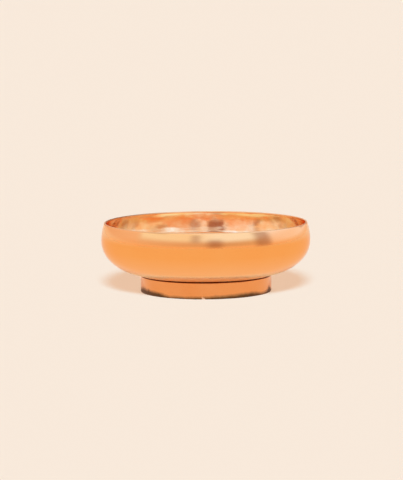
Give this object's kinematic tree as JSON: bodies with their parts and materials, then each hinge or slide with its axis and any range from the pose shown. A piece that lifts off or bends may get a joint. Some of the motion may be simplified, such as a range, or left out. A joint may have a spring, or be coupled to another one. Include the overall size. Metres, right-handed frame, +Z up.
{
  "type": "offering bowl",
  "caption": "Shallow round offering bowl of polished copper with a full belly, a plain rim that leans in and a low hoop foot, for water or small offerings on an altar.",
  "frame": {"origin": "on the table under the middle of the bowl, in the plane of the foot's lower edge", "axes": "+Z up along the bowl's axis, -Y to the front, where the foot's seam is"},
  "size_m": [0.09, 0.09, 0.0298],
  "materials": {
    "polished_copper": "polished copper, planished inside",
    "foot_copper": "polished copper, tarnished along its edges",
    "tin_solder": "dull tin solder",
    "seam_braze": "filed pale braze"
  },
  "bodies": {
    "root": {"bowl_shell": "polished_copper", "foot_ring": "foot_copper", "foot_solder": "tin_solder", "foot_seam_braze": "seam_braze"}
  },
  "joints": []
}
